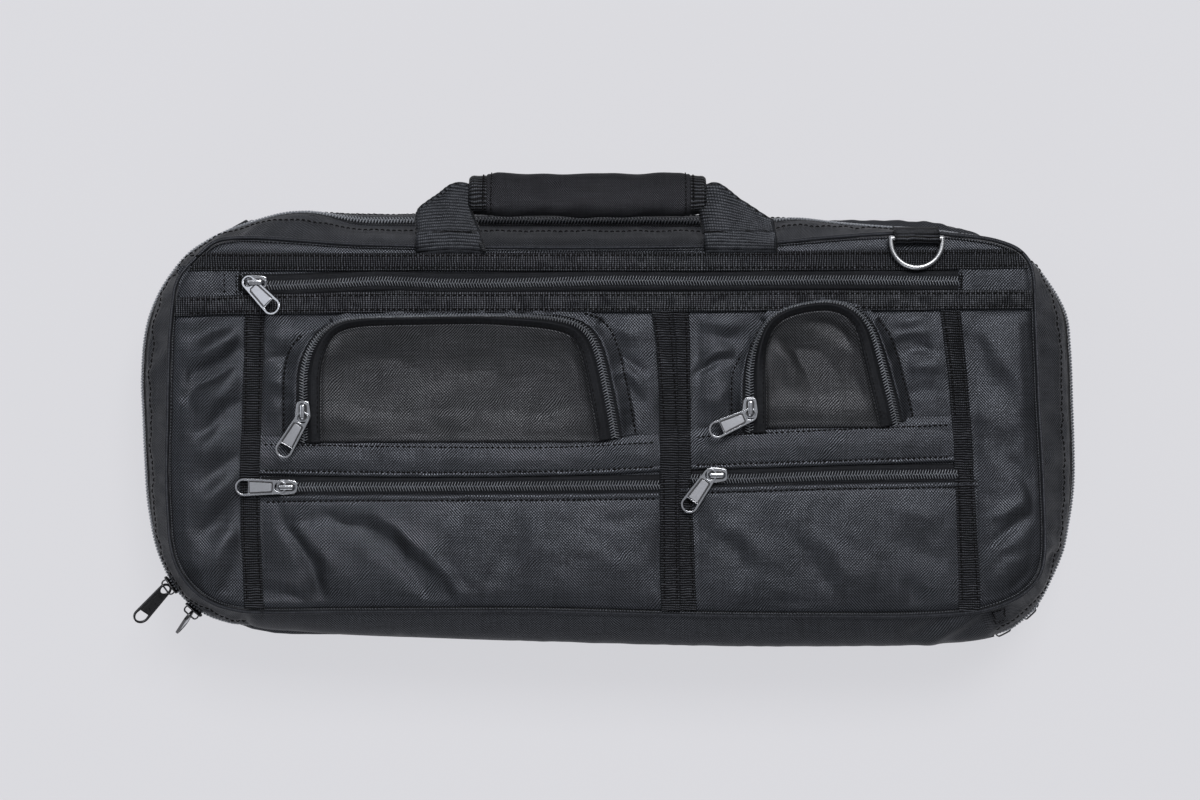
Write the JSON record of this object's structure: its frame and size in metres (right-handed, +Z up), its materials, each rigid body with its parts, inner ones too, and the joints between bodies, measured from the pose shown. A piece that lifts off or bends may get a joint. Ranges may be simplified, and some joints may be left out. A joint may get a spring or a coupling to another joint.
{
  "type": "zipped knife case",
  "caption": "Black nylon knife case with zipped front and back covers, front pockets, carry handle and D-rings, lying on its back.",
  "frame": {"origin": "middle of the case body in plan, on the back face it lies on", "axes": "+X to the right along the case, +Y towards the carry handle, +Z up out of the front face"},
  "size_m": [0.5277, 0.2632, 0.1058],
  "materials": {
    "cloth": "black ballistic nylon with a fine diagonal weave and a faint sheen",
    "webbing": "black ribbed webbing and grosgrain",
    "zip": "black woven tape with a black nylon coil",
    "metal": "glossy black-nickel zip hardware and rings",
    "lining": "smooth dark grey lining",
    "elastic": "black knitted elastic",
    "board": "dark grey stiffening board"
  },
  "bodies": {
    "leaf": {"leaf_board": "board", "leaf_wall": "cloth", "leaf_lining": "lining", "leaf_front_elastics": "elastic", "leaf_back_elastics": "elastic", "leaf_front_zip": "zip", "leaf_back_zip": "zip"},
    "back_cover": {"back_panel": "cloth", "back_wall": "cloth", "back_board": "board", "back_lining": "lining", "back_piping": "webbing", "back_cover_zip": "zip", "back_ring_loop": "webbing"},
    "back_ring": {"back_d_ring": "metal"},
    "front_cover": {"front_panel": "cloth", "front_wall": "cloth", "lower_left_pocket": "cloth", "lower_right_pocket": "cloth", "left_placket": "cloth", "right_placket": "cloth", "left_pouch_wall": "cloth", "right_pouch_wall": "cloth", "front_board": "board", "front_lining": "lining", "front_piping": "webbing", "cross_bands": "webbing", "ribbon_left": "webbing", "ribbon_middle": "webbing", "ribbon_right": "webbing", "front_ring_loop": "webbing", "front_cover_zip": "zip", "top_pocket_zip": "zip", "lower_left_zip": "zip", "lower_right_zip": "zip", "left_pouch_zip": "zip", "right_pouch_zip": "zip"},
    "front_ring": {"front_d_ring": "metal"},
    "handle": {"handle_straps": "webbing", "handle_grip": "cloth"},
    "left_flap_body": {"left_flap": "cloth"},
    "right_flap_body": {"right_flap": "cloth"},
    "top_slider_body": {"top_slider": "metal"},
    "top_pull_body": {"top_pull": "metal"},
    "lower_left_slider_body": {"lower_left_slider": "metal"},
    "lower_left_pull_body": {"lower_left_pull": "metal"},
    "lower_right_slider_body": {"lower_right_slider": "metal"},
    "lower_right_pull_body": {"lower_right_pull": "metal"},
    "left_pouch_slider_body": {"left_pouch_slider": "metal"},
    "left_pouch_pull_body": {"left_pouch_pull": "metal"},
    "right_pouch_slider_body": {"right_pouch_slider": "metal"},
    "right_pouch_pull_body": {"right_pouch_pull": "metal"},
    "front_zip_slider_a_body": {"front_zip_slider_a": "metal"},
    "front_zip_pull_a_body": {"front_zip_pull_a": "metal"},
    "front_zip_slider_b_body": {"front_zip_slider_b": "metal"},
    "front_zip_pull_b_body": {"front_zip_pull_b": "metal"},
    "back_zip_slider_a_body": {"back_zip_slider_a": "metal"},
    "back_zip_pull_a_body": {"back_zip_pull_a": "metal"},
    "back_zip_slider_b_body": {"back_zip_slider_b": "metal"},
    "back_zip_pull_b_body": {"back_zip_pull_b": "metal"}
  },
  "joints": [
    {"name": "front_cover_hinge", "type": "hinge", "parent": "leaf", "child": "front_cover", "pos_m": [0, -0.1188, 0.062], "axis": [1, 0, 0], "range_deg": [0, 180]},
    {"name": "back_cover_hinge", "type": "hinge", "parent": "leaf", "child": "back_cover", "pos_m": [0, -0.1188, 0.032], "axis": [1, 0, 0], "range_deg": [-180, 0]},
    {"name": "handle_swing", "type": "hinge", "parent": "front_cover", "child": "handle", "pos_m": [0, 0.1044, 0.0918], "axis": [1, 0, 0], "range_deg": [0, 110]},
    {"name": "front_ring_swing", "type": "hinge", "parent": "front_cover", "child": "front_ring", "pos_m": [0.1693, 0.1048, 0.0966], "axis": [-1, 0, 0], "range_deg": [0, 150]},
    {"name": "back_ring_swing", "type": "hinge", "parent": "back_cover", "child": "back_ring", "pos_m": [-0.21946, 0.11269, 0.0184], "axis": [0.8746, 0.4848, 0], "range_deg": [0, 110]},
    {"name": "left_flap_fold", "type": "hinge", "parent": "front_cover", "child": "left_flap_body", "pos_m": [-0.08, -0.00715, 0.098], "axis": [-1, 0, 0], "range_deg": [-110, 0]},
    {"name": "right_flap_fold", "type": "hinge", "parent": "front_cover", "child": "right_flap_body", "pos_m": [0.118, 0.00085, 0.098], "axis": [-1, 0, 0], "range_deg": [-110, 0]},
    {"name": "top_slide", "type": "slide", "parent": "front_cover", "child": "top_slider_body", "axis": [1, 0, 0], "range_m": [0, 0.378]},
    {"name": "lower_left_slide", "type": "slide", "parent": "front_cover", "child": "lower_left_slider_body", "axis": [1, 0, 0], "range_m": [0, 0.196]},
    {"name": "lower_right_slide", "type": "slide", "parent": "front_cover", "child": "lower_right_slider_body", "axis": [1, 0, 0], "range_m": [0, 0.122]},
    {"name": "left_pouch_slide", "type": "slide", "parent": "front_cover", "child": "left_pouch_slider_body", "axis": [0, 1, 0], "range_m": [0, 0.008]},
    {"name": "right_pouch_slide", "type": "slide", "parent": "front_cover", "child": "right_pouch_slider_body", "axis": [0, 1, 0], "range_m": [0, 0.007]},
    {"name": "top_pull_swing", "type": "hinge", "parent": "top_slider_body", "child": "top_pull_body", "pos_m": [-0.197, 0.0805, 0.0987], "axis": [0, 0, 1], "range_deg": [-135, 0]},
    {"name": "lower_left_pull_lift", "type": "hinge", "parent": "lower_left_slider_body", "child": "lower_left_pull_body", "pos_m": [-0.17705, -0.0318, 0.0974], "axis": [0, 1, 0], "range_deg": [0, 95]},
    {"name": "lower_right_pull_swing", "type": "hinge", "parent": "lower_right_slider_body", "child": "lower_right_pull_body", "pos_m": [0.0559, -0.0252, 0.0974], "axis": [0, 0, 1], "range_deg": [-100, 60]},
    {"name": "left_pouch_pull_lift", "type": "hinge", "parent": "left_pouch_slider_body", "child": "left_pouch_pull_body", "pos_m": [-0.167, 0.00905, 0.1024], "axis": [-1, 0, 0], "range_deg": [0, 95]},
    {"name": "right_pouch_pull_swing", "type": "hinge", "parent": "right_pouch_slider_body", "child": "right_pouch_pull_body", "pos_m": [0.0776, 0.0079, 0.1024], "axis": [0, 0, 1], "range_deg": [-60, 90]},
    {"name": "front_zip_slide_a", "type": "hinge", "parent": "leaf", "child": "front_zip_slider_a_body", "pos_m": [-0.18, -0.0405, 0.062], "axis": [0, 0, -1], "range_deg": [0, 34]},
    {"name": "front_zip_slide_b", "type": "hinge", "parent": "leaf", "child": "front_zip_slider_b_body", "pos_m": [-0.18, -0.0405, 0.062], "axis": [0, 0, 1], "range_deg": [0, 14]},
    {"name": "back_zip_slide_a", "type": "hinge", "parent": "back_cover", "child": "back_zip_slider_a_body", "pos_m": [0.198, -0.0585, 0.032], "axis": [0, 0, -1], "range_deg": [0, 2]},
    {"name": "back_zip_slide_b", "type": "hinge", "parent": "back_cover", "child": "back_zip_slider_b_body", "pos_m": [0.198, -0.0585, 0.032], "axis": [0, 0, 1], "range_deg": [0, 42]},
    {"name": "front_zip_pull_lift_a", "type": "hinge", "parent": "front_zip_slider_a_body", "child": "front_zip_pull_a_body", "pos_m": [-0.24926, -0.09045, 0.062], "axis": [-0.585, 0.8111, 0], "range_deg": [0, 60]},
    {"name": "front_zip_pull_lift_b", "type": "hinge", "parent": "front_zip_slider_b_body", "child": "front_zip_pull_b_body", "pos_m": [-0.23592, -0.10505, 0.062], "axis": [-0.7559, 0.6547, 0], "range_deg": [0, 90]},
    {"name": "back_zip_pull_swing_a", "type": "hinge", "parent": "back_zip_slider_a_body", "child": "back_zip_pull_a_body", "pos_m": [0.23101, -0.11514, 0.032], "axis": [0.454, -0.891, 0], "range_deg": [-20, 60]},
    {"name": "back_zip_pull_swing_b", "type": "hinge", "parent": "back_zip_slider_b_body", "child": "back_zip_pull_b_body", "pos_m": [0.24534, -0.10384, 0.032], "axis": [0.682, -0.7314, 0], "range_deg": [-20, 60]}
  ]
}
